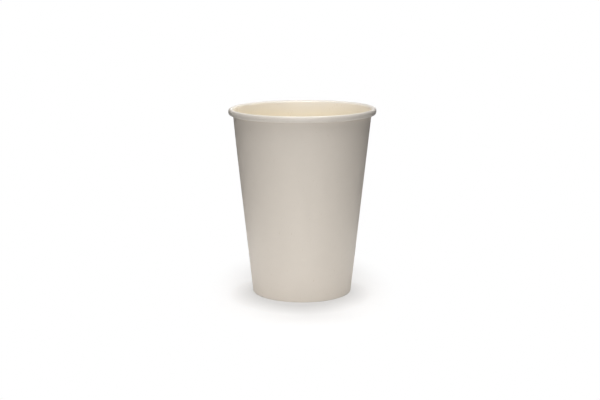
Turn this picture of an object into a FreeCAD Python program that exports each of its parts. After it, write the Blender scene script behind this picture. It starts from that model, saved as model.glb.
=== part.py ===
import FreeCAD, Part

import math
import os

# A single-wall paper cup for a hot drink, in millimetres.
# It is two pieces of coated paper board, sealed to each other:
# side_wall is one fan-shaped blank, wrapped into a cone and lapped along a seam. Its top edge is
# rolled outwards into the rim, and its lower edge is folded inwards and up.
# cup_bottom is one round blank, drawn into a pan whose skirt points down. The skirt is held
# between the wall and the wall's folded edge, so the drink's floor stands clear of the table.
# The cup stands on the fold at z = 0, its axis is +Z, and the seam is on its left, near -X.

# Sizes of the cup
RIM_DIAMETER = 90.0       # outside of the rolled rim
BASE_DIAMETER = 60.6      # outside of the wall, where its line meets the table
CUP_HEIGHT = 113.5        # table to the top of the rim
BOARD = 0.4               # thickness of the wall's board
BOTTOM_BOARD = 0.3        # thickness of the bottom's board

# The rolled rim. Its heights and radii are taken along the middle of the board
RIM_HALF_HEIGHT = 1.65    # top of the roll to its widest place
RIM_SIDE_BEND = 3.0       # radius of the flatter bend down the roll's outside
RIM_END_CORE = 0.4        # radius left hollow in the tight bends at the roll's top and foot
RIM_TUCK_CORE = 0.06      # radius left hollow where the board's edge turns up beside the wall
RIM_TUCK_GAP = 0.12       # between that edge and the wall's lapped boards

# The folded lower edge and the bottom
HEM_HEIGHT = 6.0          # how high the folded edge reaches inside
FLOOR_HEIGHT = 9.0        # table to the underside of the floor
FLOOR_BEND = 1.0          # bend from the skirt to the floor, along the middle of the board
SKIRT_CLEARANCE = 0.1     # between the skirt's lower edge and the inside of the fold

# The lapped seam
LAP_WIDTH = 7.5           # overlap of the blank's two ends, at half the cup's height
LAP_STEP_WIDTH = 1.6      # the outer end climbs over the inner one in this width, also there
LAP_TRIM_HEIGHT = 1.2     # below this the outer end is trimmed off, clear of the fold
SEAM_AZIMUTH = 166.0      # degrees from +X to the middle of the overlap

AXIS_POINT = FreeCAD.Vector(0, 0, 0)
AXIS = FreeCAD.Vector(0, 0, 1)
SHARP = 1e-6              # a bend this small is a plain corner


def section_point(r, z):
    """A point of the section, which is drawn in the plane of X, the radius, and Z."""
    return FreeCAD.Vector(r, 0, z)


def direction(heading):
    """The unit vector of a heading in the section, in radians from +X towards +Z."""
    return section_point(math.cos(heading), math.sin(heading))


def left_of(heading):
    """The unit vector square to a heading, on its left."""
    return direction(heading + math.pi / 2)


def side_edges(start, heading, moves, offset):
    """The edges of one face of a strip that follows moves, offset to the left of its path."""
    edges = []
    place = start
    for kind, *sizes in moves:
        if kind == "straight":
            (length,) = sizes
            following = place + direction(heading) * length
            shift = left_of(heading) * offset
            edges.append(Part.makeLine(place + shift, following + shift))
        else:
            radius, turn = sizes
            side = math.copysign(1.0, turn)
            centre = place + left_of(heading) * radius * side
            face_radius = radius - offset * side
            arms = [left_of(heading + turn * share) * -side for share in (0, 0.5, 1)]
            following = centre + arms[-1] * radius
            if face_radius > SHARP:
                edges.append(Part.Arc(*[centre + arm * face_radius for arm in arms]).toShape())
            heading += turn
        place = following
    return edges


def strip(start, heading, moves, left, right):
    """The section of a strip of board: its faces lie left and right of a path of moves."""
    near = side_edges(start, heading, moves, left)
    far = side_edges(start, heading, moves, -right)
    first_cap = Part.makeLine(far[0].firstVertex().Point, near[0].firstVertex().Point)
    last_cap = Part.makeLine(near[-1].lastVertex().Point, far[-1].lastVertex().Point)
    return Part.Wire(Part.__sortEdges__([first_cap, *near, last_cap, *far]))


def turned(shape, azimuth):
    """A copy of a shape, turned round the cup's axis."""
    copy = shape.copy()
    copy.rotate(AXIS_POINT, AXIS, azimuth)
    return copy


def spun(wire, first_azimuth, sweep):
    """The solid that a section sweeps, from one azimuth through an angle."""
    return turned(Part.Face(wire), first_azimuth).revolve(AXIS_POINT, AXIS, sweep)


# Bend radii of the rim. Each leaves room inside it for both boards of the lap
LAP_FACE = BOARD / 2 + BOARD
RIM_END_BEND = LAP_FACE + RIM_END_CORE
RIM_TUCK_BEND = LAP_FACE + RIM_TUCK_CORE
RIM_LIFT_BEND = RIM_TUCK_BEND + 2 * BOARD + RIM_TUCK_GAP

# The roll's quarter from its top to its outside is an end bend and half of the side bend
RIM_SIDE_TURN = math.asin((RIM_HALF_HEIGHT - RIM_END_BEND) / (RIM_SIDE_BEND - RIM_END_BEND))
RIM_END_TURN = math.pi / 2 - RIM_SIDE_TURN
RIM_SIDE_WIDTH = RIM_SIDE_BEND - (RIM_SIDE_BEND - RIM_END_BEND) * math.cos(RIM_SIDE_TURN)

# The middle of the board is at this radius over the top of the roll, and the bend that lifts
# the wall into the roll has its centre right below
RIM_TOP_RADIUS = RIM_DIAMETER / 2 - BOARD / 2 - RIM_SIDE_WIDTH
LIFT_CENTRE = section_point(RIM_TOP_RADIUS, CUP_HEIGHT - BOARD / 2 - RIM_LIFT_BEND)

# The wall's outside runs straight from the base's edge to that bend, and touches it
BASE_EDGE = section_point(BASE_DIAMETER / 2, 0)
TO_CENTRE = LIFT_CENTRE - BASE_EDGE
CENTRE_HEADING = math.atan2(TO_CENTRE.z, TO_CENTRE.x)
TOUCH_TURN = math.asin((RIM_LIFT_BEND - BOARD / 2) / TO_CENTRE.Length)
WALL_HEADING = CENTRE_HEADING + TOUCH_TURN
TAPER = math.pi / 2 - WALL_HEADING


def wall_point(height, depth):
    """A point at a height, and at a depth behind the wall's outside, square to it."""
    on_face = BASE_EDGE + left_of(WALL_HEADING) * depth
    return on_face + direction(WALL_HEADING) * ((height - on_face.z) / math.cos(TAPER))


def rise(from_height, to_height):
    """The length of a straight run along the wall between two heights."""
    return (to_height - from_height) / math.cos(TAPER)


LIFT_START_HEIGHT = LIFT_CENTRE.z + RIM_LIFT_BEND * math.sin(TAPER)


def roll_moves():
    """The bends that roll the board outwards, from the wall's upper end to the board's edge."""
    roll_foot = CUP_HEIGHT - BOARD / 2 - 2 * RIM_HALF_HEIGHT
    tuck_start = roll_foot + RIM_TUCK_BEND * (1 + math.sin(TAPER))
    return [
        ("bend", RIM_LIFT_BEND, -WALL_HEADING),
        ("bend", RIM_END_BEND, -RIM_END_TURN),
        ("bend", RIM_SIDE_BEND, -2 * RIM_SIDE_TURN),
        ("bend", RIM_END_BEND, -RIM_END_TURN),
        ("bend", RIM_TUCK_BEND, -math.pi / 2 - TAPER),
        ("straight", rise(tuck_start, LIFT_CENTRE.z)),
    ]


def hem_moves(to_height):
    """The folded edge, from its free end down, round the skirt and up the wall to a height."""
    bend = BOARD / 2
    inner_foot = BOARD / 2 + bend * (1 + math.sin(TAPER))
    outer_foot = BOARD / 2 + bend * (1 - math.sin(TAPER))
    return [
        ("straight", rise(inner_foot, HEM_HEIGHT)),
        ("bend", bend, WALL_HEADING + 2 * TAPER),
        ("straight", BOTTOM_BOARD / math.cos(TAPER)),
        ("bend", bend, WALL_HEADING),
        ("straight", rise(outer_foot, to_height)),
    ]


def side_wall():
    """The wrapped wall, with its lap seam, rolled rim and folded lower edge, as one solid."""
    hem_depth = BOARD + BOTTOM_BOARD + BOARD / 2
    hem_start = wall_point(HEM_HEIGHT, hem_depth)
    hem_heading = WALL_HEADING - math.pi
    upper_start = wall_point(LAP_TRIM_HEIGHT, BOARD / 2)
    upper_moves = [("straight", rise(LAP_TRIM_HEIGHT, LIFT_START_HEIGHT))] + roll_moves()

    # sections: the whole board, its foot below the trimmed corner, and above that the end of
    # the blank where it lies in line and where it lies over the other end
    half = BOARD / 2
    whole = strip(hem_start, hem_heading, hem_moves(LIFT_START_HEIGHT) + roll_moves(), half, half)
    foot = strip(hem_start, hem_heading, hem_moves(LAP_TRIM_HEIGHT), half, half)
    in_line = strip(upper_start, WALL_HEADING, upper_moves, half, half)
    lapped = strip(upper_start, WALL_HEADING, upper_moves, -half, half + BOARD)

    middle_radius = wall_point(CUP_HEIGHT / 2, 0).x
    lap_angle = math.degrees(LAP_WIDTH / middle_radius)
    step_angle = math.degrees(LAP_STEP_WIDTH / middle_radius)
    inner_edge = SEAM_AZIMUTH - lap_angle / 2
    step_start = inner_edge - step_angle

    wall = spun(whole, inner_edge, 360 - step_angle)
    step_foot = spun(foot, step_start, step_angle)
    step = Part.makeLoft([turned(in_line, step_start), turned(lapped, inner_edge)], True, True)
    lap = spun(lapped, inner_edge, lap_angle)
    (solid,) = wall.fuse([step_foot, step, lap]).removeSplitter().Solids
    return solid


def cup_bottom():
    """The pan that closes the cup: a flat floor and a skirt that points down, as one solid."""
    skirt_depth = BOARD + BOTTOM_BOARD / 2
    foot_height = BOARD + SKIRT_CLEARANCE + BOTTOM_BOARD / 2 * math.sin(TAPER)
    start = wall_point(foot_height, skirt_depth)
    floor_middle = FLOOR_HEIGHT + BOTTOM_BOARD / 2
    bend_start_height = floor_middle - FLOOR_BEND * (1 + math.sin(TAPER))
    bend_start = wall_point(bend_start_height, skirt_depth)
    floor_length = bend_start.x - FLOOR_BEND * math.cos(TAPER)
    moves = [
        ("straight", rise(foot_height, bend_start_height)),
        ("bend", FLOOR_BEND, math.pi - WALL_HEADING),
        ("straight", floor_length),
    ]
    half = BOTTOM_BOARD / 2
    return spun(strip(start, WALL_HEADING, moves, half, half), 0, 360)


def main():
    os.makedirs("parts", exist_ok=True)
    for name, shape in (("side_wall", side_wall()), ("cup_bottom", cup_bottom())):
        shape.exportStep(os.path.join("parts", name + ".step"))
        box = shape.optimalBoundingBox(False)
        print(name, "valid", shape.isValid(), "volume", round(shape.Volume, 1), "mm3, to x",
              round(box.XMax, 3), "y", round(box.YMax, 3), "z", round(box.ZMax, 3))


main()
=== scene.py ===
import functools
import math

import bmesh
import bpy
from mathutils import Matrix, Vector, noise


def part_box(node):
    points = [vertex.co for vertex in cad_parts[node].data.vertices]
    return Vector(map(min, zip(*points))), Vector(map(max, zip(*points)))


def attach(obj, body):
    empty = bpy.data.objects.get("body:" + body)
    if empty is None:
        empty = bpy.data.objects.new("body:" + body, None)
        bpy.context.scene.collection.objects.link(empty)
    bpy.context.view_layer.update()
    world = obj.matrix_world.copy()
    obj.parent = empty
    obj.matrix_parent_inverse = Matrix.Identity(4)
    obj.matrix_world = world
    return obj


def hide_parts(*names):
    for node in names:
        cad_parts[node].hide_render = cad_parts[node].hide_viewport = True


# A single-wall paper cup on a pale floor. Two pieces are modelled here, each in place of its
# solid: the wrapped wall, as one thick sheet that overlaps itself along the seam, is rolled out
# into the rim and folded in at the foot, and the bottom, as one drawn pan.

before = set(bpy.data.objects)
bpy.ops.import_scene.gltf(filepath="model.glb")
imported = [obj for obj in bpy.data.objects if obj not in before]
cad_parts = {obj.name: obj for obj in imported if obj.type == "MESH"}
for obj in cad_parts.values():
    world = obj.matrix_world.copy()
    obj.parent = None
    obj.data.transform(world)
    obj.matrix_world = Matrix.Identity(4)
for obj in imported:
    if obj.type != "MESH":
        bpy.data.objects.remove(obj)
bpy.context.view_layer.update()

MM = 0.001

# Sizes of the cup, as its solids have them
WALL_LOW, WALL_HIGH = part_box("side_wall")
CUP_HEIGHT = WALL_HIGH.z
RIM_RADIUS = (WALL_HIGH.x - WALL_LOW.x) / 2
BASE_RADIUS = 30.3 * MM        # outside of the wall, where its line meets the floor
BOARD = 0.4 * MM
BOTTOM_BOARD = 0.3 * MM
HEM_HEIGHT = 6.0 * MM
FLOOR_HEIGHT = 9.0 * MM
FLOOR_BEND = 1.0 * MM
SKIRT_CLEARANCE = 0.1 * MM
FOLD_CORE = 0.03 * MM          # hollow left in the corners of the fold

# The rolled rim, along the middle of the board
RIM_HALF_HEIGHT = 1.65 * MM
RIM_SIDE_BEND = 3.0 * MM
RIM_END_BEND = 1.0 * MM
RIM_TUCK_BEND = 0.66 * MM
RIM_LIFT_BEND = 1.58 * MM

# The lapped seam, at half the cup's height
LAP_WIDTH = 7.5 * MM
LAP_STEP_WIDTH = 1.6 * MM
LAP_TRIM_HEIGHT = 1.2 * MM
SEAM_AZIMUTH = math.radians(166)

# How far the paper is from a perfect form
OVAL = 0.22 * MM               # the rim's half width grows and shrinks by this much
OVAL_PHASE = 2.9
RIM_SHIFT = 0.25 * MM          # the rim sits this far towards +X
RIM_FADE = 8                   # power of the height by which the rim's faults fade below it
COCKLE = 0.05 * MM             # soft unevenness of the wall
COCKLE_SIZE = 26 * MM
COCKLE_SQUEEZE = 0.6           # the wall's waves are drawn out upwards
COCKLE_PLACE = Vector((3.1, 0.4, 7.7))
ROLL_UNEVEN = 0.05 * MM        # the rim's roll rises and falls by this much
ROLL_UNEVEN_SIZE = 14 * MM
ROLL_UNEVEN_PLACE = Vector((0.2, 5.3, 1.9))
RIM_TILT = 0.005               # the rim climbs this much towards +X
FLOOR_CROWN = 0.35 * MM        # the bottom bulges up in its middle

COLUMNS = 300                  # steps round the cup
STEP_COLUMNS = 8
LAP_COLUMNS = 10


def left_of(heading):
    """The unit vector square to a heading in the section, on its left, as (r, z)."""
    return -math.sin(heading), math.cos(heading)


def walk(start, heading, moves):
    """Samples along a path of straights and bends: (r, z, heading) for each step."""
    r, z = start
    samples = [(r, z, heading)]
    for kind, steps, *sizes in moves:
        for _ in range(steps):
            if kind == "straight":
                reach = sizes[0] / steps
                r += math.cos(heading) * reach
                z += math.sin(heading) * reach
            else:
                radius, turn = sizes[0], sizes[1] / steps
                side = math.copysign(radius, turn)
                away_r, away_z = left_of(heading)
                heading += turn
                back_r, back_z = left_of(heading)
                r += (away_r - back_r) * side
                z += (away_z - back_z) * side
            samples.append((r, z, heading))
    return samples


# The roll's quarter from its top to its outside is an end bend and half of the side bend
RIM_SIDE_TURN = math.asin((RIM_HALF_HEIGHT - RIM_END_BEND) / (RIM_SIDE_BEND - RIM_END_BEND))
RIM_END_TURN = math.pi / 2 - RIM_SIDE_TURN
RIM_SIDE_WIDTH = RIM_SIDE_BEND - (RIM_SIDE_BEND - RIM_END_BEND) * math.cos(RIM_SIDE_TURN)
RIM_TOP_RADIUS = RIM_RADIUS - BOARD / 2 - RIM_SIDE_WIDTH
LIFT_CENTRE_HEIGHT = CUP_HEIGHT - BOARD / 2 - RIM_LIFT_BEND

# The wall's outside runs from its base edge to the bend that lifts it into the roll
CENTRE_DISTANCE = math.hypot(RIM_TOP_RADIUS - BASE_RADIUS, LIFT_CENTRE_HEIGHT)
CENTRE_HEADING = math.atan2(LIFT_CENTRE_HEIGHT, RIM_TOP_RADIUS - BASE_RADIUS)
WALL_HEADING = CENTRE_HEADING + math.asin((RIM_LIFT_BEND - BOARD / 2) / CENTRE_DISTANCE)
TAPER = math.pi / 2 - WALL_HEADING
LIFT_START_HEIGHT = LIFT_CENTRE_HEIGHT + RIM_LIFT_BEND * math.sin(TAPER)


def wall_point(height, depth):
    """(r, z) at a height, and at a depth behind the wall's outside, square to it."""
    across, up = left_of(WALL_HEADING)
    climb = (height - up * depth) / math.cos(TAPER)
    return BASE_RADIUS + across * depth + climb * math.sin(TAPER), height


def rise(from_height, to_height):
    """The length of a straight run along the wall between two heights."""
    return (to_height - from_height) / math.cos(TAPER)


def wall_path():
    """The path of the wall's board, and the index of its first sample above the lap's trim.

    Each move is its kind, its number of steps and its sizes.
    """
    fold = BOARD / 2 + FOLD_CORE
    inner_foot = BOARD / 2 + fold * (1 + math.sin(TAPER))
    outer_foot = BOARD / 2 + fold * (1 - math.sin(TAPER))
    roll_foot = CUP_HEIGHT - BOARD / 2 - 2 * RIM_HALF_HEIGHT
    tuck_start = roll_foot + RIM_TUCK_BEND * (1 + math.sin(TAPER))
    hem = [
        ("straight", 5, rise(inner_foot, HEM_HEIGHT)),
        ("bend", 5, fold, WALL_HEADING + 2 * TAPER),
        ("straight", 1, (BOTTOM_BOARD - 2 * FOLD_CORE) / math.cos(TAPER)),
        ("bend", 5, fold, WALL_HEADING),
        ("straight", 1, rise(outer_foot, LAP_TRIM_HEIGHT)),
    ]
    wall_and_roll = [
        ("straight", 48, rise(LAP_TRIM_HEIGHT, LIFT_START_HEIGHT)),
        ("bend", 10, RIM_LIFT_BEND, -WALL_HEADING),
        ("bend", 7, RIM_END_BEND, -RIM_END_TURN),
        ("bend", 8, RIM_SIDE_BEND, -2 * RIM_SIDE_TURN),
        ("bend", 7, RIM_END_BEND, -RIM_END_TURN),
        ("bend", 8, RIM_TUCK_BEND, -math.pi / 2 - TAPER),
        ("straight", 2, rise(tuck_start, LIFT_CENTRE_HEIGHT)),
    ]
    start = wall_point(HEM_HEIGHT, BOARD + BOTTOM_BOARD + BOARD / 2)
    samples = walk(start, WALL_HEADING - math.pi, hem + wall_and_roll)
    return samples, sum(move[1] for move in hem)


def uneven(x, y, z):
    """How far the paper stands out at a place, and how far the roll rises there."""
    share = max(0.0, z / CUP_HEIGHT) ** RIM_FADE
    azimuth = math.atan2(y, x)
    rim = OVAL * math.cos(2 * azimuth + OVAL_PHASE) + RIM_SHIFT * math.cos(azimuth)
    on_wall = Vector((x, y, COCKLE_SQUEEZE * z)) / COCKLE_SIZE + COCKLE_PLACE
    cockle = COCKLE * noise.noise(on_wall)
    held = min(1.0, z / (2 * FLOOR_HEIGHT))
    on_roll = Vector((x, y, 0)) / ROLL_UNEVEN_SIZE + ROLL_UNEVEN_PLACE
    lift = ROLL_UNEVEN * noise.noise(on_roll)
    return rim * share + cockle * held, (lift + RIM_TILT * x) * share


def place(sample, azimuth, offset):
    """A point of the board: offset to the left of the path, turned to an azimuth."""
    r, z, heading = sample
    across, up = left_of(heading)
    ux, uy = math.cos(azimuth), math.sin(azimuth)
    out, lift = uneven(r * ux, r * uy, z)
    r += across * offset + out
    return r * ux, r * uy, z + up * offset + lift


def smooth(share):
    """A soft step from 0 to 1."""
    share = min(1.0, max(0.0, share))
    return share * share * (3 - 2 * share)


def spread(first, last, steps):
    """Evenly spaced values from first up to, but without, last."""
    return [first + (last - first) * k / steps for k in range(steps)]


def build_mesh(name, faces, materials):
    """A mesh object from faces of named corners: ((corner, ...), material index)."""
    index = {}
    points = []
    polygons = []
    for corners, _ in faces:
        polygon = []
        for key, point in corners:
            if key not in index:
                index[key] = len(points)
                points.append(point)
            polygon.append(index[key])
        polygons.append(polygon)
    mesh = bpy.data.meshes.new(name)
    mesh.from_pydata(points, [], polygons)
    for material in materials:
        mesh.materials.append(material)
    for polygon, (_, slot_index) in zip(mesh.polygons, faces):
        polygon.material_index = slot_index
    shape = bmesh.new()
    shape.from_mesh(mesh)
    bmesh.ops.recalc_face_normals(shape, faces=shape.faces)
    for face in shape.faces:
        face.smooth = True
    for edge in shape.edges:
        cut = {face.material_index for face in edge.link_faces}
        edge.smooth = not (CUT in cut and len(cut) > 1)
    shape.to_mesh(mesh)
    shape.free()
    piece = bpy.data.objects.new(name, mesh)
    bpy.context.scene.collection.objects.link(piece)
    return piece


# Materials of a sheet, by index: the face that the path has on its left, the one on its right,
# and the cut edges
LEFT, RIGHT, CUT = range(3)


def paper_wall(materials):
    """The wrapped wall: one thick sheet that goes once round and overlaps along the seam."""
    path, trim = wall_path()
    middle_radius = wall_point(CUP_HEIGHT / 2, 0)[0]
    lap = LAP_WIDTH / middle_radius
    step = LAP_STEP_WIDTH / middle_radius
    inner_edge = SEAM_AZIMUTH - lap / 2
    turn = 2 * math.pi
    angles = spread(0, turn - step, COLUMNS)
    step_column = len(angles)
    angles += spread(turn - step, turn, STEP_COLUMNS)
    meeting_column = len(angles)
    angles += spread(turn, turn + lap, LAP_COLUMNS) + [turn + lap]

    @functools.cache
    def corner(i, j, side, in_line):
        if in_line and j == meeting_column:
            j = 0
        over = 0 if in_line else BOARD * smooth((angles[j] - turn + step) / step)
        offset = BOARD / 2 - over if side == LEFT else -BOARD / 2 - over
        separate = in_line and j > step_column
        return (i, j, side, separate), place(path[i], inner_edge + angles[j], offset)

    cells = [(i, j, False) for i in range(len(path) - 1) for j in range(step_column)]
    last = len(angles) - 1
    cells += [(i, j, False) for i in range(trim, len(path) - 1) for j in range(step_column, last)]
    cells += [(i, j, True) for i in range(trim) for j in range(step_column, meeting_column)]

    faces = []
    rims = {}
    for i, j, in_line in cells:
        around = [(i, j), (i + 1, j), (i + 1, j + 1), (i, j + 1)]
        for side in (LEFT, RIGHT):
            faces.append(([corner(a, b, side, in_line) for a, b in around], side))
        for (a, b), (c, d) in zip(around, around[1:] + around[:1]):
            near = [corner(a, b, LEFT, in_line), corner(c, d, LEFT, in_line)]
            far = [corner(c, d, RIGHT, in_line), corner(a, b, RIGHT, in_line)]
            edge = frozenset(key for key, _ in near)
            rims.setdefault(edge, []).append(near + far)
    faces += [(found[0], CUT) for found in rims.values() if len(found) == 1]
    return build_mesh("paper_wall", faces, materials)


def crowned(sample):
    """A sample of the bottom's path, raised where the floor bulges in its middle."""
    r, z, heading = sample
    flat_radius = wall_point(FLOOR_HEIGHT, BOARD + FLOOR_BEND)[0]
    share = min(1.0, r / flat_radius)
    return r, z + FLOOR_CROWN * (1 - share ** 2) ** 2, heading


def paper_bottom(materials):
    """The bottom: a round pan with its skirt down, closed by a fan of faces in its middle."""
    skirt_depth = BOARD + BOTTOM_BOARD / 2
    foot_height = BOARD + SKIRT_CLEARANCE + BOTTOM_BOARD / 2 * math.sin(TAPER)
    bend_start_height = FLOOR_HEIGHT + BOTTOM_BOARD / 2 - FLOOR_BEND * (1 + math.sin(TAPER))
    start = wall_point(foot_height, skirt_depth)
    floor_length = wall_point(bend_start_height, skirt_depth)[0] - FLOOR_BEND * math.cos(TAPER)
    moves = [
        ("straight", 5, rise(foot_height, bend_start_height)),
        ("bend", 8, FLOOR_BEND, math.pi - WALL_HEADING),
        ("straight", 24, floor_length),
    ]
    path = [crowned(sample) for sample in walk(start, WALL_HEADING, moves)]
    columns = COLUMNS // 2
    angles = spread(0, 2 * math.pi, columns)
    middle = len(path) - 1

    @functools.cache
    def corner(i, j, side):
        j %= columns
        offset = BOTTOM_BOARD / 2 if side == LEFT else -BOTTOM_BOARD / 2
        point = place(path[i], angles[j], offset)
        if i == middle:
            return (i, 0, side), (0.0, 0.0, path[i][1] - offset)
        return (i, j, side), point

    faces = []
    for i in range(middle):
        for j in range(columns):
            around = [(i, j), (i + 1, j), (i + 1, j + 1), (i, j + 1)]
            if i + 1 == middle:
                around = [(i, j), (i + 1, j), (i, j + 1)]
            for side in (LEFT, RIGHT):
                faces.append(([corner(a, b, side) for a, b in around], side))
    for j in range(columns):
        foot = [corner(0, j, LEFT), corner(0, j + 1, LEFT)]
        faces.append((foot + [corner(0, j + 1, RIGHT), corner(0, j, RIGHT)], CUT))
    return build_mesh("paper_bottom", faces, materials)


WHITE = (1.0, 1.0, 1.0, 1.0)


class Nodes:
    """A short way to write the nodes and links of a material or a world."""

    def __init__(self, owner):
        self.owner = owner
        self.owner.use_nodes = True
        self.tree = self.owner.node_tree
        self.tree.nodes.clear()

    def add(self, kind, links=None, **settings):
        """A node with settings. Its inputs get values, or links from other nodes' outputs."""
        node = self.tree.nodes.new(kind)
        for key, value in settings.items():
            setattr(node, key, value)
        for key, value in (links or {}).items():
            socket = node.inputs[key]
            if isinstance(value, bpy.types.NodeSocket):
                self.tree.links.new(value, socket)
            else:
                socket.default_value = value
        return node

    def noise(self, coordinates, scale, detail, roughness):
        """A noise texture's value, about 0.5 on average."""
        links = {"Vector": coordinates, "Scale": scale, "Detail": detail, "Roughness": roughness}
        return self.add("ShaderNodeTexNoise", links).outputs["Fac"]

    def ranged(self, value, low, high, to_low=0.0, to_high=1.0, **settings):
        """A value carried from one range to another, and held inside it."""
        links = {
            "Value": value, "From Min": low, "From Max": high, "To Min": to_low, "To Max": to_high,
        }
        return self.add("ShaderNodeMapRange", links, **settings).outputs["Result"]

    def scaled(self, vector, factors):
        """A vector with each of its parts multiplied."""
        links = {0: vector, 1: factors}
        return self.add("ShaderNodeVectorMath", links, operation="MULTIPLY").outputs["Vector"]

    def distance(self, vector, centre=(0.0, 0.0, 0.0)):
        """How far a place is from a centre."""
        links = {0: vector, 1: centre}
        return self.add("ShaderNodeVectorMath", links, operation="DISTANCE").outputs["Value"]

    def tinted(self, factor, first, second, **settings):
        """A colour between two, or blended from them, by a factor."""
        links = {"Factor": factor, 6: first, 7: second}
        return self.add("ShaderNodeMix", links, data_type="RGBA", **settings).outputs[2]

    def output(self, kind, shader):
        """The material or world, with a shader at its output."""
        self.add(kind, {"Surface": shader})
        return self.owner


def shade(colour, factor):
    """A colour made lighter or darker, with alpha 1."""
    return (*[min(1.0, part * factor) for part in colour], 1.0)


# Noises of the paper: cells in a metre, detail and roughness
CLOUD = (170.0, 3.0, 0.55)
FIBRE = (2600.0, 5.0, 0.62)
PULP = (900.0, 4.0, 0.6)
FLECK = (1500.0, 1.0, 0.5)
GRAIN_SQUEEZE = (1.0, 1.0, 0.35)         # fibres and flecks are drawn out upwards
TONE_FROM = 0.3                          # values of cloud and fibre that are darkest
TONE_TO = 0.7                            # and lightest
PULP_FROM = 0.25                         # values of pulp that are glossiest
PULP_TO = 0.75                           # and roughest
FLECK_FROM = 0.73                        # the noise's value where a fleck starts
FLECK_TO = 0.80
FLECK_COLOUR = (0.90, 0.87, 0.82, 1.0)   # multiplies the board's colour
FIBRE_SHARE = 0.45                       # of the fibres in the tone; the rest is cloud
FIBRE_DARK = 1.6                         # times the mottle
FIBRE_LIGHT = 0.8
ROUGHNESS_SPREAD = 0.06
PULP_HEIGHT = 1.6                        # times the fibres' height
PAPER_IOR = 1.46
PAPER_SPECULAR = 0.42
COAT_ROUGHNESS = 0.32


def paper(name, colour, roughness, gloss, fibre_height, mottle, painted_light_zones=()):
    """Paper board: cloudy in tone, with fine fibres that lie mostly upright and a few flecks.

    Each painted light zone is a radius where the board starts to turn to another colour, the
    smaller radius where it has that colour, and the colour. The zones paint light into the colour.
    """
    nodes = Nodes(bpy.data.materials.new(name))
    coordinates = nodes.add("ShaderNodeTexCoord").outputs["Object"]
    grain = nodes.scaled(coordinates, GRAIN_SQUEEZE)
    cloud = nodes.noise(coordinates, *CLOUD)
    fibre = nodes.noise(grain, *FIBRE)
    pulp = nodes.noise(coordinates, *PULP)
    fleck = nodes.ranged(nodes.noise(grain, *FLECK), FLECK_FROM, FLECK_TO)

    tone = nodes.tinted(nodes.ranged(cloud, TONE_FROM, TONE_TO),
                        shade(colour, 1 - mottle), shade(colour, 1 + mottle))
    fine = nodes.tinted(nodes.ranged(fibre, TONE_FROM, TONE_TO),
                        shade(colour, 1 - mottle * FIBRE_DARK),
                        shade(colour, 1 + mottle * FIBRE_LIGHT))
    both = nodes.tinted(FIBRE_SHARE, tone, fine)
    board_colour = nodes.tinted(fleck, both, FLECK_COLOUR, blend_type="MULTIPLY")
    radius = nodes.distance(nodes.scaled(coordinates, (1.0, 1.0, 0.0)))
    # Each zone paints light into the board's colour by radius
    for start, end, painted_colour in painted_light_zones:
        change = [inner / outer for inner, outer in zip(painted_colour, colour)]
        board_colour = nodes.tinted(nodes.ranged(radius, start, end), board_colour,
                                    (*change, 1.0), blend_type="MULTIPLY")
        colour = painted_colour

    low_bumps = nodes.add("ShaderNodeBump", {
        "Height": pulp, "Distance": fibre_height * PULP_HEIGHT,
    })
    bumps = nodes.add("ShaderNodeBump", {
        "Height": fibre, "Distance": fibre_height, "Normal": low_bumps.outputs["Normal"],
    })
    surface = nodes.add("ShaderNodeBsdfPrincipled", {
        "Base Color": board_colour,
        "Roughness": nodes.ranged(pulp, PULP_FROM, PULP_TO, roughness - ROUGHNESS_SPREAD,
                                  roughness + ROUGHNESS_SPREAD),
        "IOR": PAPER_IOR,
        "Specular IOR Level": PAPER_SPECULAR,
        "Coat Weight": gloss,
        "Coat Roughness": COAT_ROUGHNESS,
        "Normal": bumps.outputs["Normal"],
    })
    return nodes.output("ShaderNodeOutputMaterial", surface.outputs["BSDF"])


# Colours are linear. The board is one off-white all through: matte outside, and inside under a
# thin clear coating. On the inside, light is painted into the colour: a painted highlight makes it
# lighter over the top of the roll, and painted bounce light makes it warmer deeper in
PAPER_COLOUR = (0.757, 0.691, 0.612)
LINING_COLOUR = (0.805, 0.745, 0.67)
# Painted light on the inside, by radius: a painted highlight over the top of the roll, then a
# warmer colour deeper in, painted in place of light bounced inside the cup
LINING_PAINTED_LIGHT = (
    (RIM_TOP_RADIUS + 0.3 * MM, RIM_TOP_RADIUS - 0.4 * MM, (0.88, 0.83, 0.765)),
    (RIM_TOP_RADIUS - 1.2 * MM, RIM_TOP_RADIUS - 2.6 * MM, (0.885, 0.80, 0.635)),
)
CUT_COLOUR = (0.74, 0.66, 0.57)


def cup_materials():
    """The looks of the board's outside, of its coated inside and of its cut edges."""
    outside = paper("outside_paper", PAPER_COLOUR, roughness=0.62, gloss=0.0,
                    fibre_height=0.012 * MM, mottle=0.012)
    lining = paper("coated_lining", LINING_COLOUR, roughness=0.5, gloss=0.35,
                   fibre_height=0.006 * MM, mottle=0.008, painted_light_zones=LINING_PAINTED_LIGHT)
    cut = paper("cut_board", CUT_COLOUR, roughness=0.85, gloss=0.0,
                fibre_height=0.03 * MM, mottle=0.05)
    return outside, lining, cut


# The stage is a floor and soft lamps. The floor that sends light up to the cup is pale out to
# some distance from the cup's axis, with painted shade round the foot, and painted dark further
# out in place of unlit surroundings
FLOOR_SIZE = 3.0
FLOOR_COLOUR = (0.96, 0.96, 0.96, 1.0)
FLOOR_FOOT_SHADE_COLOUR = (0.78, 0.77, 0.76, 1.0)
FLOOR_FAR_SHADE_COLOUR = (0.20, 0.20, 0.20, 1.0)
FLOOR_BOUNCE_FROM = 0.13
FLOOR_BOUNCE_TO = 0.18

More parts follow.
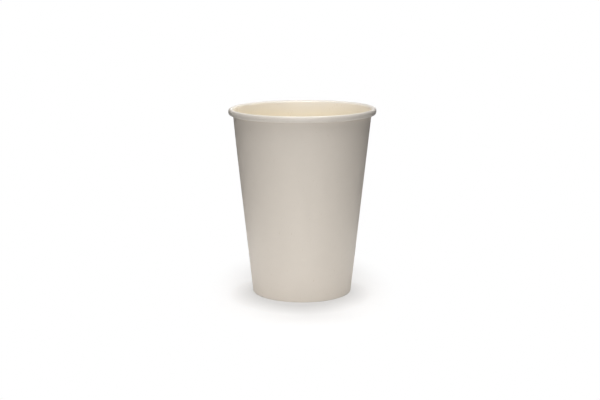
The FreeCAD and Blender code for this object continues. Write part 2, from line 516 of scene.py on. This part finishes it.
# The floor that the camera sees takes the lamps' light and shadows, and glows, less in a round
# shade at the foot and in a wider one in front of it. Away from the cup it turns plain white
FLOOR_SEEN_COLOUR = (0.43, 0.42, 0.413, 1.0)
FLOOR_GLOW = 0.62
CONTACT_CENTRE = (-0.001, -0.010, 0.0)
CONTACT_FROM = 0.026
CONTACT_TO = 0.046
CONTACT_SHADE = 0.27
FRONT_SHADE_CENTRE = (0.004, -0.056, 0.0)
FRONT_SHADE_WIDTH = 1.4                  # times its depth
FRONT_SHADE_RADIUS = 0.026
FRONT_SHADE = 0.10
FLOOR_WHITE_FROM = 0.06
FLOOR_WHITE_TO = 0.12
FLOOR_WHITE_SQUEEZE = 1.8                # to the sides it is white this many times nearer


def floor_material():
    """The floor's two looks: one for the light that it sends on, one for the camera."""
    nodes = Nodes(bpy.data.materials.new("pale_floor"))
    position = nodes.add("ShaderNodeNewGeometry").outputs["Position"]
    flat = nodes.scaled(position, (1.0, 1.0, 0.0))
    from_foot = nodes.distance(flat, CONTACT_CENTRE)

    # Painted shade: near the foot the floor sends less light up, which darkens the cup's foot
    foot_shaded = nodes.tinted(nodes.ranged(from_foot, CONTACT_FROM, CONTACT_TO),
                         FLOOR_FOOT_SHADE_COLOUR, FLOOR_COLOUR)
    # Painted shade: further out the floor is dark to the light it sends on, though the camera sees
    # it white
    far = nodes.ranged(nodes.distance(flat), FLOOR_BOUNCE_FROM, FLOOR_BOUNCE_TO)
    bounced = nodes.add("ShaderNodeBsdfDiffuse", {
        "Color": nodes.tinted(far, foot_shaded, FLOOR_FAR_SHADE_COLOUR),
    })

    contact = nodes.ranged(from_foot, CONTACT_FROM, CONTACT_TO,
                           FLOOR_GLOW - CONTACT_SHADE, FLOOR_GLOW)
    in_front = nodes.add("ShaderNodeMapping", {
        "Vector": flat, "Location": FRONT_SHADE_CENTRE, "Scale": (FRONT_SHADE_WIDTH, 1.0, 1.0),
    }, vector_type="TEXTURE").outputs["Vector"]
    front = nodes.ranged(nodes.distance(in_front), 0.0, FRONT_SHADE_RADIUS, FRONT_SHADE, 0.0)
    clear = nodes.add("ShaderNodeMath", {0: contact, 1: front}, operation="SUBTRACT")
    glow = nodes.add("ShaderNodeEmission", {"Color": WHITE, "Strength": clear.outputs["Value"]})
    lit = nodes.add("ShaderNodeBsdfDiffuse", {"Color": FLOOR_SEEN_COLOUR})
    near = nodes.add("ShaderNodeAddShader", {0: lit.outputs["BSDF"], 1: glow.outputs["Emission"]})
    squeezed = nodes.scaled(flat, (FLOOR_WHITE_SQUEEZE, 1.0, 1.0))
    away = nodes.ranged(nodes.distance(squeezed), FLOOR_WHITE_FROM, FLOOR_WHITE_TO,
                        interpolation_type="SMOOTHERSTEP")
    white = nodes.add("ShaderNodeEmission", {"Color": WHITE, "Strength": 1.0})
    seen = nodes.add("ShaderNodeMixShader", {
        "Fac": away, 1: near.outputs["Shader"], 2: white.outputs["Emission"],
    })

    both = nodes.add("ShaderNodeMixShader", {
        "Fac": nodes.add("ShaderNodeLightPath").outputs["Is Camera Ray"],
        1: bounced.outputs["BSDF"], 2: seen.outputs["Shader"],
    })
    return nodes.output("ShaderNodeOutputMaterial", both.outputs["Shader"])


def make_floor():
    mesh = bpy.data.meshes.new("floor")
    half = FLOOR_SIZE / 2
    corners = [(-half, -half, 0), (half, -half, 0), (half, half, 0), (-half, half, 0)]
    mesh.from_pydata(corners, [], [(0, 1, 2, 3)])
    mesh.materials.append(floor_material())
    floor = bpy.data.objects.new("floor", mesh)
    bpy.context.scene.collection.objects.link(floor)


def make_world():
    """A world that is white where the camera sees it, and gives no light."""
    nodes = Nodes(bpy.data.worlds.new("studio"))
    white = nodes.add("ShaderNodeBackground", {
        "Color": WHITE, "Strength": nodes.add("ShaderNodeLightPath").outputs["Is Camera Ray"],
    })
    bpy.context.scene.world = nodes.output("ShaderNodeOutputWorld", white.outputs["Background"])


# The light on the cup is at a plain level. Each lamp has a place, a width and height in metres,
# and a power in watts, and points at the middle of the cup
LAMP_TARGET = Vector((0.0, 0.0, 0.055))
LAMPS = {
    "top": ((0.0, -0.05, 1.2), (0.9, 0.9), 9.6),
    "top_front": ((0.0, -0.65, 1.1), (0.8, 0.5), 3.4),
    "near_front": ((0.0, -0.2, 0.08), (0.05, 0.08), 0.052),
    "front": ((0.0, -1.2, 0.25), (0.5, 0.5), 2.95),
    "left": ((-1.4, -0.9, 0.5), (0.8, 1.0), 2.1),
    "low_left": ((-0.078, 0.008, 0.009), (0.09, 0.015), 0.0075),
    "low_right": ((0.078, 0.008, 0.009), (0.09, 0.015), 0.0065),
    "back": ((0.3, 1.2, 0.45), (0.8, 0.8), 1.5),
    "mouth": ((-0.008, -0.018, 0.128), (0.05, 0.015), 0.012),
}


def make_lamps():
    for name, (spot, (width, height), power) in LAMPS.items():
        light = bpy.data.lights.new(name, "AREA")
        light.shape = "RECTANGLE"
        light.size = width
        light.size_y = height
        light.energy = power
        lamp = bpy.data.objects.new(name, light)
        lamp.location = spot
        lamp.rotation_euler = (LAMP_TARGET - Vector(spot)).to_track_quat("-Z", "Y").to_euler()
        lamp.visible_camera = False
        bpy.context.scene.collection.objects.link(lamp)


# The camera stands where the photograph's did, as fitted to the rim, sides and base of the cup
CAMERA_PLACE = (-1.17 * MM, -700 * MM, 193.5 * MM)
CAMERA_PITCH = math.radians(11.065)      # downwards
IMAGE_WIDTH = 600
FOCAL_PIXELS = 1160.2
SENSOR_WIDTH = 36.0


def make_camera():
    data = bpy.data.cameras.new("camera")
    data.sensor_fit = "HORIZONTAL"
    data.sensor_width = SENSOR_WIDTH
    data.lens = SENSOR_WIDTH * FOCAL_PIXELS / IMAGE_WIDTH
    camera = bpy.data.objects.new("camera", data)
    camera.location = CAMERA_PLACE
    camera.rotation_euler = (math.pi / 2 - CAMERA_PITCH, 0.0, 0.0)
    bpy.context.scene.collection.objects.link(camera)
    bpy.context.scene.camera = camera


def main():
    outside, lining, cut = cup_materials()
    for piece, node, slot in (
        (paper_wall([lining, outside, cut]), "side_wall", "wall_paper"),
        (paper_bottom([lining, outside, cut]), "cup_bottom", "bottom_paper"),
    ):
        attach(piece, "root")
        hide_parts(node)
    make_floor()
    make_world()
    make_lamps()
    make_camera()
    bpy.context.scene.view_settings.view_transform = "Standard"


main()
